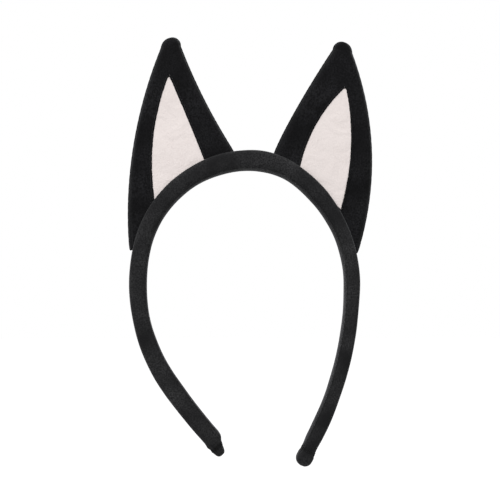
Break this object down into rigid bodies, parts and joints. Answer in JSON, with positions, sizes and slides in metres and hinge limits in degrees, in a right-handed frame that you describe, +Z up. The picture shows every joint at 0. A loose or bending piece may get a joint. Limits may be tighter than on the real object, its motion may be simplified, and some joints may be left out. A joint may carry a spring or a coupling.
{
  "type": "animal ears headband",
  "caption": "Padded velvety hoop headband with upright pointed animal ears, each with a pale inset panel sewn into its front.",
  "frame": {"origin": "underside of the crown, where the hoop rests on the head, midway front to back", "axes": "+Z up from the head as worn, +X toward the viewer's right when seen from the front, -Y toward the front"},
  "size_m": [0.133, 0.013, 0.2277],
  "materials": {
    "black_velour": "short pile velour, soft sheen",
    "pale_velour": "short pile velour, matte",
    "black_thread": "spun polyester thread",
    "sponge_foam": "open cell foam sheet",
    "strip_plastic": "moulded, slightly satin"
  },
  "bodies": {
    "root": {"band_sleeve": "black_velour", "hoop_head_liner": "sponge_foam", "hoop_outer_pad": "sponge_foam", "hoop_strip": "strip_plastic", "left_ear_back": "black_velour", "left_ear_base_stitches": "black_thread", "left_ear_edge_seam": "black_thread", "left_ear_foam": "sponge_foam", "left_ear_front": "black_velour", "left_ear_inset": "pale_velour", "left_ear_window_stitching": "black_thread", "left_end_binding": "black_thread", "right_ear_back": "black_velour", "right_ear_base_stitches": "black_thread", "right_ear_edge_seam": "black_thread", "right_ear_foam": "sponge_foam", "right_ear_front": "black_velour", "right_ear_inset": "pale_velour", "right_ear_window_stitching": "black_thread", "right_end_binding": "black_thread", "sleeve_seam_thread": "black_thread"}
  },
  "joints": []
}
